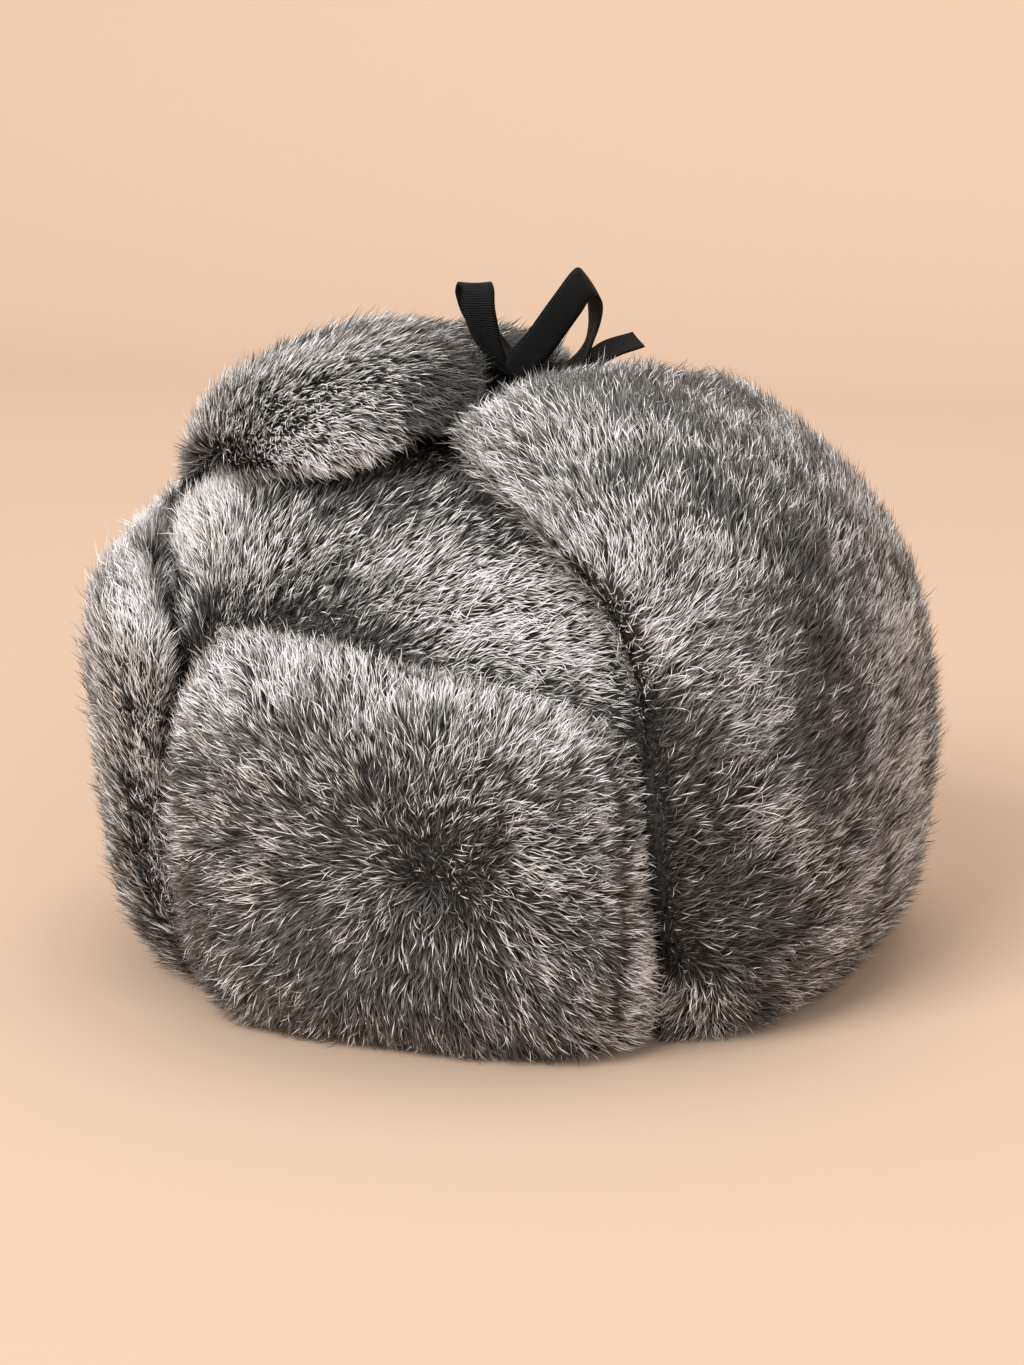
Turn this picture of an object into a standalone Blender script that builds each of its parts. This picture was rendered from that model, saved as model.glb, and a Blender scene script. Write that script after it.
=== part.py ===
"""A fur ushanka with its visor and ear flaps folded up, tied over the crown in a ribbon bow.

Metres, +Z up. The front faces -Y and the wearer's left is +X. The origin lies on the surface
that the hat rests on, under the middle of the whole hat; the head's middle is a little beside it.
An azimuth is an angle round +Z, 0 at the front and 90 at the wearer's left. A lean is an angle
down from straight up, seen from the crown's heart.
"""

import math
from bisect import bisect_right
from collections import namedtuple

import bmesh
import bpy
from mathutils import Vector

# The head opening and the padded crown over it
OPENING_LENGTH = 0.192
OPENING_WIDTH = 0.168
HEAD_MIDDLE_X = 0.0034
CROWN_WALL = 0.012
CROWN_HEIGHT = 0.172
WIDEST_HEIGHT = 0.072
RIM_TO_WIDEST = 0.90
PLAN_SQUARENESS = 2.5
DOME_SQUARENESS = 2.25

# The pads of fur that are folded up against the crown
VISOR_THICKNESS = 0.021
FLAP_THICKNESS = 0.022
VISOR_CLEARANCE = 0.0010
FLAP_CLEARANCE = 0.0019
VISOR_RIGHT_ANGLE = 36.0
VISOR_LEFT_ANGLE = 35.2
VISOR_LEFT_TOP_ANGLE = 32.4
FLAP_FRONT_ANGLE = 38.5
FLAP_BACK_ANGLE = 179.7
SUNK_BELOW_SURFACE = 0.004
EDGE_ROUNDING = 0.020
LOCK_DEPTH = 0.0016
LOCK_LENGTH = 0.011

# The ribbon that ties the flaps
RIBBON_WIDTH = 0.0105
RIBBON_THICKNESS = 0.0008
KNOT_LENGTH = 0.013
KNOT_WIDTH = 0.010
KNOT_HEIGHT = 0.010
KNOT_ROUNDING = 0.0035
KNOT_X = -0.001
KNOT_Y = 0.014
BOW_REACH = 0.040
PIECE_GAP = 0.0003

# How finely each surface is divided
CROWN_AROUND = 42
CROWN_UP = 11
VISOR_ACROSS = 12
VISOR_UP = 6
LEFT_FLAP_ACROSS = 12
LEFT_FLAP_UP = 14
RIGHT_FLAP_ACROSS = 14
RIGHT_FLAP_UP = 15
RIBBON_ACROSS = 2
RIBBON_STEPS = 18
KNOT_ROUNDING_STEPS = 3
SAME_POINT = 1e-6

# The block below the hat that cuts it flat where it rests
SURFACE_SPAN = 0.6
SURFACE_DEPTH = 0.1

Puff = namedtuple("Puff", "azimuth lean spread rise")
CROWN_PUFFS = (
    # Where the padding fills the crown out: its middle, its spread in degrees and its rise
    # as a share of the crown's height
    Puff(-78.0, 51.0, 32.0, 0.115),
)

VisorStrip = namedtuple("VisorStrip", "place height")
VISOR_STRIPS = (
    # place: -1 at the wearer's right edge, 1 at the left; height: share of the crown's height
    VisorStrip(-1.00, 0.60),
    VisorStrip(-0.88, 0.68),
    VisorStrip(-0.50, 0.70),
    VisorStrip(0.00, 0.67),
    VisorStrip(0.50, 0.64),
    VisorStrip(0.86, 0.58),
    VisorStrip(1.00, 0.51),
)

FlapStrip = namedtuple("FlapStrip", "place base_azimuth end_azimuth end_lean lift")
LEFT_FLAP_STRIPS = (
    # place: 0 at the front edge, 1 at the seam down the back of the head
    # lift: how far the tied end stands off the crown, as a share of the flap's thickness
    FlapStrip(0.00, FLAP_FRONT_ANGLE, -16.0, 27.0, 0.05),
    FlapStrip(0.14, 62.0, 10.0, 9.0, 0.10),
    FlapStrip(0.28, 79.0, 90.0, 6.0, 0.05),
    FlapStrip(0.42, 97.0, 118.0, 15.0, 0.05),
    FlapStrip(0.57, 115.0, 138.0, 26.0, 0.05),
    FlapStrip(0.72, 135.0, 153.0, 38.0, 0.10),
    FlapStrip(0.86, 157.0, 168.0, 53.0, 0.0),
    FlapStrip(1.00, FLAP_BACK_ANGLE, 179.7, 66.0, 0.0),
)
RIGHT_FLAP_STRIPS = (
    FlapStrip(0.00, FLAP_FRONT_ANGLE, 9.0, 23.0, 0.15),
    FlapStrip(0.14, 62.0, 28.0, 10.0, 0.30),
    FlapStrip(0.28, 79.0, 125.0, 15.0, 0.32),
    FlapStrip(0.42, 97.0, 180.0, 20.0, 0.40),
    FlapStrip(0.57, 115.0, 178.0, 32.0, 0.35),
    FlapStrip(0.72, 135.0, 172.0, 45.0, 0.20),
    FlapStrip(0.86, 157.0, 172.0, 56.0, 0.05),
    FlapStrip(1.00, FLAP_BACK_ANGLE, 179.7, 66.0, 0.0),
)

FlapEnd = namedtuple("FlapEnd", "place x y z")
FrontEdge = namedtuple("FrontEdge", "place set_back buckle")
LEFT_FRONT_EDGE = (
    # place: 0 at the base, 1 at the tied end; set_back: share of the flap's own breadth
    # buckle: how far the edge stands off the crown, as a share of the flap's thickness
    FrontEdge(0.00, 0.0, 0.02),
    FrontEdge(0.16, 0.010, 0.03),
    FrontEdge(0.32, 0.026, 0.05),
    FrontEdge(0.52, 0.044, 0.10),
    FrontEdge(0.60, 0.040, 0.10),
    FrontEdge(0.72, 0.024, 0.05),
    FrontEdge(0.84, 0.012, 0.0),
    FrontEdge(1.00, 0.012, 0.0),
)
RIGHT_FRONT_EDGE = (
    # This flap buckles where it turns over the crown, which leaves a notch in its edge
    FrontEdge(0.00, 0.0, 0.0),
    FrontEdge(0.12, 0.015, 0.0),
    FrontEdge(0.28, 0.036, 0.0),
    FrontEdge(0.42, 0.045, 0.04),
    FrontEdge(0.47, 0.030, 0.12),
    FrontEdge(0.51, 0.050, 0.31),
    FrontEdge(0.54, 0.13, 0.35),
    FrontEdge(0.565, 0.22, 0.34),
    FrontEdge(0.59, 0.26, 0.30),
    FrontEdge(0.62, 0.23, 0.24),
    FrontEdge(0.65, 0.16, 0.18),
    FrontEdge(0.69, 0.09, 0.08),
    FrontEdge(0.74, 0.04, 0.0),
    FrontEdge(0.80, 0.01, 0.0),
    FrontEdge(0.88, 0.0, 0.0),
    FrontEdge(1.00, 0.0, 0.0),
)
BUCKLE_BREADTH = 0.45
LIFT_START = 0.55
LIFT_END = 0.95

Dent = namedtuple("Dent", "across up wide tall depth")
LEFT_FLAP_DENTS = (
    # middle and half extent as shares of the sheet; depth: share of the pad's thickness
    Dent(0.20, 0.30, 0.08, 0.30, 0.14),
    Dent(0.55, 0.75, 0.20, 0.12, 0.10),
)
RIGHT_FLAP_DENTS = (
    # the crease that runs on from the notch
    Dent(0.10, 0.59, 0.50, 0.07, 0.45),
)

Spacing = namedtuple("Spacing", "place up")
# The rows of the sheet lie closer together round the notch
FLAP_ROWS = (Spacing(0.0, 0.0), Spacing(0.36, 0.48), Spacing(0.74, 0.70), Spacing(1.0, 1.0))

# How much of its full thickness a pad keeps at each of its edges
Rounding = namedtuple("Rounding", "front back base top")
VISOR_EDGES = Rounding(front=0.50, back=0.50, base=0.30, top=0.40)
FLAP_EDGES = Rounding(front=0.50, back=0.80, base=0.30, top=0.40)

BandRow = namedtuple("BandRow", "place x y z facing slope")
# x, y, z: shares of the bow's reach from the middle of the knot
# facing: azimuth in which the band's width points; slope: how far its width tips up
LOOP_RIGHT = (
    BandRow(0.00, 0.00, 0.04, 0.00, 107, -30),
    BandRow(0.10, -0.28, 0.08, 0.17, 107, -32),
    BandRow(0.20, -0.40, 0.02, 0.37, 107, -20),
    BandRow(0.34, -0.47, -0.03, 0.65, 107, 0),
    BandRow(0.46, -0.50, 0.02, 0.84, 107, 0),
    BandRow(0.54, -0.56, 0.10, 0.87, 107, 0),
    BandRow(0.64, -0.61, 0.20, 0.76, 107, -4),
    BandRow(0.78, -0.54, 0.28, 0.50, 107, -14),
    BandRow(0.90, -0.30, 0.24, 0.28, 107, -34),
    BandRow(1.00, 0.00, 0.06, 0.00, 107, -40),
)
LOOP_LEFT = (
    BandRow(0.00, 0.00, -0.04, 0.00, 287, 36),
    BandRow(0.10, -0.12, -0.13, 0.16, 287, 42),
    BandRow(0.30, 0.11, -0.15, 0.48, 287, 42),
    BandRow(0.46, 0.32, -0.15, 0.77, 286, 45),
    BandRow(0.55, 0.42, -0.06, 0.92, 275, 58),
    BandRow(0.64, 0.46, 0.08, 0.82, 240, 45),
    BandRow(0.76, 0.43, 0.12, 0.50, 205, 15),
    BandRow(0.88, 0.31, 0.14, 0.26, 210, 10),
    BandRow(1.00, 0.00, 0.02, 0.02, 240, 10),
)
TAIL_LEFT = (
    BandRow(0.00, 0.00, -0.04, -0.06, 50, -8),
    BandRow(0.20, 0.18, -0.02, -0.02, 45, -14),
    BandRow(0.40, 0.33, 0.08, 0.14, 38, -26),
    BandRow(0.70, 0.52, 0.20, 0.34, 38, -22),
    BandRow(1.00, 0.78, 0.28, 0.44, 38, -18),
)
TAIL_RIGHT = (
    BandRow(0.00, 0.00, 0.00, -0.08, 90, 0),
    BandRow(0.30, 0.12, 0.30, -0.10, 110, 0),
    BandRow(0.65, 0.36, 0.62, -0.14, 110, 0),
    BandRow(1.00, 0.48, 1.05, -0.28, 96, 0),
)

FUR_GREY = (0.21, 0.205, 0.20)
FUR_PALE = (0.30, 0.295, 0.29)
RIBBON_BLACK = (0.012, 0.012, 0.013)
SOFT_ROUGHNESS = 0.85

HALF_WIDTH = (OPENING_WIDTH / 2 + CROWN_WALL) / RIM_TO_WIDEST
HALF_LENGTH = (OPENING_LENGTH / 2 + CROWN_WALL) / RIM_TO_WIDEST
DOME_HEIGHT = CROWN_HEIGHT - WIDEST_HEIGHT
HEART = Vector((HEAD_MIDDLE_X, 0, WIDEST_HEIGHT))


def on_curve(table, column, at):
    """A column of a table at a place, on a smooth curve through the rows."""
    places = [row.place for row in table]
    values = [getattr(row, column) for row in table]

    def slope(i):
        low, high = max(i - 1, 0), min(i + 1, len(table) - 1)
        return (values[high] - values[low]) / (places[high] - places[low])

    i = min(max(bisect_right(places, at) - 1, 0), len(table) - 2)
    span = places[i + 1] - places[i]
    u = (at - places[i]) / span
    return (
        values[i] * (1 + 2 * u) * (1 - u) ** 2
        + values[i + 1] * (3 - 2 * u) * u**2
        + slope(i) * span * u * (1 - u) ** 2
        - slope(i + 1) * span * (1 - u) * u**2
    )


def smooth_step(value, start, end):
    """0 up to start and 1 from end, with a smooth rise between."""
    u = min(max((value - start) / (end - start), 0), 1)
    return u * u * (3 - 2 * u)


def azimuth_vector(azimuth):
    """The level direction at an azimuth."""
    angle = math.radians(azimuth)
    return Vector((math.sin(angle), -math.cos(angle), 0))


def lower_half_height():
    """Half height of the crown's rounding below its widest height, which narrows it to the rim."""
    return WIDEST_HEIGHT / (1 - RIM_TO_WIDEST**DOME_SQUARENESS) ** (1 / DOME_SQUARENESS)


def crown_radius(direction):
    """How far the crown's outer surface is from its heart, in a direction of unit length."""
    plan = (
        abs(direction.x / HALF_WIDTH) ** PLAN_SQUARENESS
        + abs(direction.y / HALF_LENGTH) ** PLAN_SQUARENESS
    ) ** (DOME_SQUARENESS / PLAN_SQUARENESS)
    half_height = DOME_HEIGHT if direction.z > 0 else lower_half_height()
    rise = abs(direction.z / half_height) ** DOME_SQUARENESS
    puffed = 0.0
    for puff in CROWN_PUFFS:
        apart = math.degrees(direction.angle(leaning(puff.azimuth, puff.lean)))
        puffed += CROWN_HEIGHT * puff.rise * math.exp(-((apart / puff.spread) ** 2))
    return (plan + rise) ** (-1 / DOME_SQUARENESS) + puffed


def at_height(azimuth, height):
    """The direction from the heart to the crown's surface at an azimuth and a height."""
    level = azimuth_vector(azimuth)
    reach = crown_radius(level)
    half_height = DOME_HEIGHT if height > WIDEST_HEIGHT else lower_half_height()
    rise = abs((height - WIDEST_HEIGHT) / half_height) ** DOME_SQUARENESS
    plan = reach * (1 - rise) ** (1 / DOME_SQUARENESS)
    return (level * plan + Vector((0, 0, height - WIDEST_HEIGHT))).normalized()


def leaning(azimuth, lean):
    """The direction at an azimuth that leans down from straight up."""
    angle = math.radians(lean)
    return azimuth_vector(azimuth) * math.sin(angle) + Vector((0, 0, math.cos(angle)))


def on_crown(direction, clearance=0.0):
    return HEART + direction * (crown_radius(direction) + clearance)


def sheet_of_points(columns, rows, place):
    """An open sheet of faces, bent by place(across, up), with across and up from 0 to 1."""
    bm = bmesh.new()
    bmesh.ops.create_grid(bm, x_segments=columns, y_segments=rows, size=0.5)
    for vert in bm.verts:
        vert.co = place(vert.co.x + 0.5, vert.co.y + 0.5)
    bm.verts.index_update()
    return bm


def plain_material(name, colour):
    material = bpy.data.materials.new(name)
    material.use_nodes = True
    shader = material.node_tree.nodes["Principled BSDF"]
    shader.inputs["Base Color"].default_value = (*colour, 1)
    shader.inputs["Roughness"].default_value = SOFT_ROUGHNESS
    shader.inputs["Metallic"].default_value = 0.0
    return material


def new_part(name, bm, material):
    mesh = bpy.data.meshes.new(name)
    bm.to_mesh(mesh)
    bm.free()
    mesh.materials.append(material)
    mesh.shade_smooth()
    part = bpy.data.objects.new(name, mesh)
    PARTS.objects.link(part)
    return part


def cut_flat(part):
    """Cuts a part flat where it rests, as the weight of the hat presses the fur."""
    cut = part.modifiers.new("rests flat", "BOOLEAN")
    cut.operation = "DIFFERENCE"
    cut.object = RESTING_SURFACE


def fur_locks(part, where=""):
    """Presses shallow furrows between the locks of fur into the outer side."""
    locks = part.modifiers.new("fur locks", "DISPLACE")
    locks.texture = FUR_LOCKS
    locks.texture_coords = "LOCAL"
    locks.vertex_group = where
    locks.mid_level = 1.0
    locks.strength = LOCK_DEPTH


def add_crown():
    def place(around, up):
        azimuth = 360 * around
        rim = at_height(azimuth, -SUNK_BELOW_SURFACE)
        return on_crown(rim.slerp(Vector((0, 0, 1)), up))

    bm = sheet_of_points(CROWN_AROUND, CROWN_UP, place)
    bmesh.ops.remove_doubles(bm, verts=bm.verts, dist=SAME_POINT)
    crown = new_part("crown", bm, plain_material("crown fur", FUR_GREY))
    wall = crown.modifiers.new("padded wall", "SOLIDIFY")
    wall.thickness = CROWN_WALL
    wall.offset = -1
    cut_flat(crown)
    return crown


def distances_to_edges(bm, columns, rows):
    """For each vertex of a grid, how far it is along the sheet from each of its four edges."""
    line = sorted(bm.verts, key=lambda vert: vert.index)
    grid = [line[i * (columns + 1) : (i + 1) * (columns + 1)] for i in range(rows + 1)]
    found = {}

    def add_along(verts, names):
        for ordered, name in ((verts, names[0]), (verts[::-1], names[1])):
            gone = 0.0
            for before, vert in zip([ordered[0], *ordered], ordered):
                gone += (vert.co - before.co).length
                found.setdefault(vert.index, {})[name] = gone

    for row in grid:
        add_along(row, ("front", "back"))
    for column in zip(*grid):
        add_along(column, ("base", "top"))
    return found


def dented(dents, across, up):
    """The share of a pad's thickness that its dents leave."""
    left = 1.0
    for dent in dents:
        away = ((across - dent.across) / dent.wide) ** 2 + ((up - dent.up) / dent.tall) ** 2
        left -= dent.depth * math.exp(-away)
    return left


def add_pad(name, columns, rows, place, thickness, edges, colour, mirrored=False, filled=None):
    """A pad of fur on a bent sheet, full in the middle and rounded off to its edges.

    place(across, up) bends the sheet, and filled(across, up) is the share of the thickness there.
    """

    def from_front(across):
        return 1 - across if mirrored else across

    bm = sheet_of_points(columns, rows, lambda across, up: place(from_front(across), up))
    near = distances_to_edges(bm, columns, rows)
    pad = new_part(name, bm, plain_material(f"{name} fur", colour))
    fullness = pad.vertex_groups.new(name="fullness")
    outer = pad.vertex_groups.new(name="outer side")
    for index, edge in near.items():
        if mirrored:
            edge["front"], edge["back"] = edge["back"], edge["front"]
        full = 1.0
        for side in edges._fields:
            least = getattr(edges, side)
            inward = min(edge[side] / EDGE_ROUNDING, 1)
            full *= least + (1 - least) * math.sqrt(1 - (1 - inward) ** 2)
        if filled:
            row, column = divmod(index, columns + 1)
            full *= filled(from_front(column / columns), row / rows)
        fullness.add([index], full, "REPLACE")
    filling = pad.modifiers.new("filling", "SOLIDIFY")
    filling.thickness = thickness
    filling.offset = 1
    filling.vertex_group = fullness.name
    filling.shell_vertex_group = outer.name
    softness = pad.modifiers.new("softness", "SUBSURF")
    softness.levels = softness.render_levels = 1
    fur_locks(pad, outer.name)
    cut_flat(pad)
    return pad


def add_visor():
    def place(across, up):
        base_azimuth = (VISOR_RIGHT_ANGLE + VISOR_LEFT_ANGLE) * across - VISOR_RIGHT_ANGLE
        top_azimuth = (VISOR_RIGHT_ANGLE + VISOR_LEFT_TOP_ANGLE) * across - VISOR_RIGHT_ANGLE
        base = at_height(base_azimuth, -SUNK_BELOW_SURFACE)
        height = CROWN_HEIGHT * on_curve(VISOR_STRIPS, "height", 2 * across - 1)
        return on_crown(base.slerp(at_height(top_azimuth, height), up), VISOR_CLEARANCE)

    add_pad("visor", VISOR_ACROSS, VISOR_UP, place, VISOR_THICKNESS, VISOR_EDGES, FUR_PALE)


def add_ear_flap(name, columns, rows, strips, front_edge, dents, side):
    """An ear flap; side is 1 for the wearer's left and -1 for the right."""
    ends = [FlapEnd(s.place, *leaning(side * s.end_azimuth, s.end_lean)) for s in strips]

    def place(across, row):
        up = on_curve(FLAP_ROWS, "up", row)
        set_back = on_curve(front_edge, "set_back", up)
        at = set_back + (1 - set_back) * across
        base = at_height(side * on_curve(strips, "base_azimuth", at), -SUNK_BELOW_SURFACE)
        end = Vector([on_curve(ends, axis, at) for axis in "xyz"]).normalized()
        lift = on_curve(strips, "lift", at) * smooth_step(up, LIFT_START, LIFT_END)
        buckle = on_curve(front_edge, "buckle", up) * (1 - smooth_step(across, 0, BUCKLE_BREADTH))
        return on_crown(base.slerp(end, up), FLAP_CLEARANCE + FLAP_THICKNESS * (lift + buckle))

    add_pad(
        name,
        columns,
        rows,
        place,
        FLAP_THICKNESS,
        FLAP_EDGES,
        FUR_GREY,
        mirrored=side < 0,
        filled=lambda across, row: dented(dents, across, on_curve(FLAP_ROWS, "up", row)),
    )


def crown_top_at(x, y):
    """The height of the crown's top at about x, y from the head's middle."""
    return on_crown(Vector((x, y, DOME_HEIGHT)).normalized()).z


def knot_middle():
    """The knot sits on the highest place of the crown under its flat underside."""
    half_length = KNOT_LENGTH / 2 - KNOT_ROUNDING
    half_width = KNOT_WIDTH / 2 - KNOT_ROUNDING
    top = max(
        crown_top_at(KNOT_X + along * half_length, KNOT_Y + across * half_width)
        for along in (-1, 1)
        for across in (-1, 1)
    )
    return Vector((HEAD_MIDDLE_X + KNOT_X, KNOT_Y, top + PIECE_GAP + KNOT_HEIGHT / 2))


def knot_block(name, grown, collection):
    bpy.ops.mesh.primitive_cube_add(size=1, location=knot_middle())
    block = bpy.context.active_object
    block.name = name
    block.scale = [side + 2 * grown for side in (KNOT_LENGTH, KNOT_WIDTH, KNOT_HEIGHT)]
    bpy.ops.object.transform_apply(location=False, rotation=False, scale=True)
    for other in list(block.users_collection):
        other.objects.unlink(block)
    collection.objects.link(block)
    rounding = block.modifiers.new("rounding", "BEVEL")
    rounding.width = KNOT_ROUNDING + grown
    rounding.segments = KNOT_ROUNDING_STEPS
    return block


def add_knot(material):
    knot = knot_block("ribbon_knot", 0.0, PARTS)
    knot.data.materials.append(material)
    knot.data.shade_smooth()


def add_ribbon(name, rows, material):
    """A band of ribbon along a table of rows, cut off where it enters the knot."""
    middle = knot_middle()

    def place(across, along):
        at = Vector([on_curve(rows, axis, along) for axis in "xyz"]) * BOW_REACH
        slope = math.radians(on_curve(rows, "slope", along))
        facing = azimuth_vector(on_curve(rows, "facing", along))
        width = facing * math.cos(slope) + Vector((0, 0, math.sin(slope)))
        return middle + at + width * RIBBON_WIDTH * (across - 0.5)

    ribbon = new_part(name, sheet_of_points(RIBBON_ACROSS, RIBBON_STEPS, place), material)
    band = ribbon.modifiers.new("band", "SOLIDIFY")
    band.thickness = RIBBON_THICKNESS
    band.offset = 0
    cut = ribbon.modifiers.new("into the knot", "BOOLEAN")
    cut.operation = "DIFFERENCE"
    cut.object = KNOT_ROOM


for old in list(bpy.data.objects):
    bpy.data.objects.remove(old, do_unlink=True)

PARTS = bpy.data.collections.new("fur ushanka")
CUTTERS = bpy.data.collections.new("cutters")
bpy.context.scene.collection.children.link(PARTS)
bpy.context.scene.collection.children.link(CUTTERS)

FUR_LOCKS = bpy.data.textures.new("fur locks", "CLOUDS")
FUR_LOCKS.noise_scale = LOCK_LENGTH

bpy.ops.mesh.primitive_cube_add(size=1)
RESTING_SURFACE = bpy.context.active_object
RESTING_SURFACE.name = "resting_surface"
RESTING_SURFACE.scale = (SURFACE_SPAN, SURFACE_SPAN, SURFACE_DEPTH)
RESTING_SURFACE.location = (0, 0, -SURFACE_DEPTH / 2)
RESTING_SURFACE.hide_render = True
RESTING_SURFACE.display_type = "WIRE"
for collection in list(RESTING_SURFACE.users_collection):
    collection.objects.unlink(RESTING_SURFACE)
CUTTERS.objects.link(RESTING_SURFACE)

KNOT_ROOM = knot_block("knot_room", PIECE_GAP, CUTTERS)
KNOT_ROOM.hide_render = True
KNOT_ROOM.display_type = "WIRE"

add_crown()
add_visor()
add_ear_flap(
    "ear_flap_left",
    LEFT_FLAP_ACROSS,
    LEFT_FLAP_UP,
    LEFT_FLAP_STRIPS,
    LEFT_FRONT_EDGE,
    LEFT_FLAP_DENTS,
    1,
)
add_ear_flap(
    "ear_flap_right",
    RIGHT_FLAP_ACROSS,
    RIGHT_FLAP_UP,
    RIGHT_FLAP_STRIPS,
    RIGHT_FRONT_EDGE,
    RIGHT_FLAP_DENTS,
    -1,
)
RIBBON = plain_material("ribbon", RIBBON_BLACK)
add_knot(RIBBON)
add_ribbon("ribbon_loop_right", LOOP_RIGHT, RIBBON)
add_ribbon("ribbon_loop_left", LOOP_LEFT, RIBBON)
add_ribbon("ribbon_tail_right", TAIL_RIGHT, RIBBON)
add_ribbon("ribbon_tail_left", TAIL_LEFT, RIBBON)
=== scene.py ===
# %% [markdown]
# # A fur ushanka, hair by hair
# This notebook dresses the solids of a fur hat. The solids already have the hat's form: a padded
# crown, a visor and two ear flaps folded up against it, and a ribbon tied in a bow on top. What
# they lack is hair. We load them first.

# %% Load the frame
import math
from bisect import bisect_right
from collections import namedtuple

import bmesh
import bpy
import numpy as np
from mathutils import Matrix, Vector
from mathutils.bvhtree import BVHTree
from mathutils.kdtree import KDTree


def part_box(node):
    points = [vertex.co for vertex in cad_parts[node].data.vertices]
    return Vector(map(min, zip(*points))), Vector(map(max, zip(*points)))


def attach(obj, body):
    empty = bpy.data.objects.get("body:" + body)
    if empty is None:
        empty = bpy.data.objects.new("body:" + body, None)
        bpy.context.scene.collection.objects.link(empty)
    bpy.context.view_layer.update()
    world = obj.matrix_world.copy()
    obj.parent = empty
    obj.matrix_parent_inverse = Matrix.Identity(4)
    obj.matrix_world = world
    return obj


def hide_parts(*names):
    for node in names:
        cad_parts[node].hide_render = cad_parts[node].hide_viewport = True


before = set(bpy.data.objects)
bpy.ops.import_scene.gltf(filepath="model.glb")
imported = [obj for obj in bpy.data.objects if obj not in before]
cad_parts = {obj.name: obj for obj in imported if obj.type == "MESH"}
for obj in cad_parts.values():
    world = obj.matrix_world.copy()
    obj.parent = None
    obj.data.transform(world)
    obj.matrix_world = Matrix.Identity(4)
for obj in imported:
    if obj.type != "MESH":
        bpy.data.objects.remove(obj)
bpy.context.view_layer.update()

# %% [markdown]
# ## The camera
# The photograph looks at the hat from a little to its left and a little above. The lens is long,
# so the hat is not distorted. An azimuth of 0 stands in front of the hat, which faces -Y, and the
# camera circles towards +X. The same numbers give us a way back from a place in the picture to a
# place on the fur, which we use later to comb it.

# %% Camera
PICTURE_WIDTH = 1024
PICTURE_HEIGHT = 1365
HEAD_MIDDLE_X = 0.0034
CAMERA_AZIMUTH = math.radians(17.5)
CAMERA_ELEVATION = math.radians(12.8)
CAMERA_DISTANCE = 1.05
AIM_SIDEWAYS = -0.0045
AIM_HEIGHT = 0.086
LENS = 85.0
SENSOR_HEIGHT = 36.0

to_right = Vector((math.cos(CAMERA_AZIMUTH), math.sin(CAMERA_AZIMUTH), 0))
to_camera = Vector(
    (
        math.sin(CAMERA_AZIMUTH) * math.cos(CAMERA_ELEVATION),
        -math.cos(CAMERA_AZIMUTH) * math.cos(CAMERA_ELEVATION),
        math.sin(CAMERA_ELEVATION),
    )
)
to_top = to_camera.cross(to_right)
aim = Vector((HEAD_MIDDLE_X, 0, AIM_HEIGHT)) + to_right * AIM_SIDEWAYS
eye = aim + to_camera * CAMERA_DISTANCE

camera_data = bpy.data.cameras.new("camera")
camera_data.lens = LENS
camera_data.sensor_fit = "VERTICAL"
camera_data.sensor_height = SENSOR_HEIGHT
camera = bpy.data.objects.new("camera", camera_data)
camera.location = eye
camera.rotation_euler = (aim - eye).to_track_quat("-Z", "Y").to_euler()
bpy.context.scene.collection.objects.link(camera)
bpy.context.scene.camera = camera
print("the camera stands at", [round(v, 3) for v in eye])

# %% [markdown]
# ## The backdrop
# A product photograph is often taken on a roll of paper that hangs down a wall and runs out over
# the table, so no corner shows. We draw that as one profile, floor, curve and wall, and stretch
# it sideways. The paper is a warm, pale peach.

# %% Paper sweep
PAPER_WIDTH = 7.0
PAPER_FRONT = -3.0
PAPER_BEND_START = 1.3
PAPER_BEND_RADIUS = 0.9
PAPER_TOP = 3.2
PAPER_BEND_STEPS = 24
PAPER_PEACH = (0.562, 0.414, 0.311)


def new_object(name, mesh):
    thing = bpy.data.objects.new(name, mesh)
    bpy.context.scene.collection.objects.link(thing)
    return thing


def plain_shader(name, roughness, specular=0.3):
    """A material with its Principled shader, ready for nodes."""
    material = bpy.data.materials.new(name)
    material.use_nodes = True
    shader = material.node_tree.nodes["Principled BSDF"]
    shader.inputs["Roughness"].default_value = roughness
    shader.inputs["Specular IOR Level"].default_value = specular
    return material, shader


profile = [(PAPER_FRONT, 0.0), (PAPER_BEND_START, 0.0)]
for step in range(1, PAPER_BEND_STEPS + 1):
    turn = math.pi / 2 * step / PAPER_BEND_STEPS
    profile.append(
        (
            PAPER_BEND_START + PAPER_BEND_RADIUS * math.sin(turn),
            PAPER_BEND_RADIUS * (1 - math.cos(turn)),
        )
    )
profile.append((PAPER_BEND_START + PAPER_BEND_RADIUS, PAPER_TOP))
bm = bmesh.new()
edges = [
    [bm.verts.new((side * PAPER_WIDTH / 2, y, z)) for side in (-1, 1)] for y, z in profile
]
for near, far in zip(edges, edges[1:]):
    bm.faces.new((near[0], near[1], far[1], far[0]))
paper_mesh = bpy.data.meshes.new("paper sweep")
bm.to_mesh(paper_mesh)
bm.free()
paper_mesh.shade_smooth()
paper, paper_shader = plain_shader("peach paper", roughness=0.9, specular=0.1)
paper_shader.inputs["Base Color"].default_value = (*PAPER_PEACH, 1)
paper_mesh.materials.append(paper)
sweep = new_object("paper_sweep", paper_mesh)
print("the paper's profile has", len(profile), "points")

# %% [markdown]
# ## The light
# The light is soft and comes mostly from above and in front. One large lamp up on the left does
# the work. A weaker one on the right opens the shadows, a third from behind the hat lifts the
# hairs along its outline, and a fourth evens out the paper where it bends up. The world adds a
# little warm light from all round.

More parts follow.
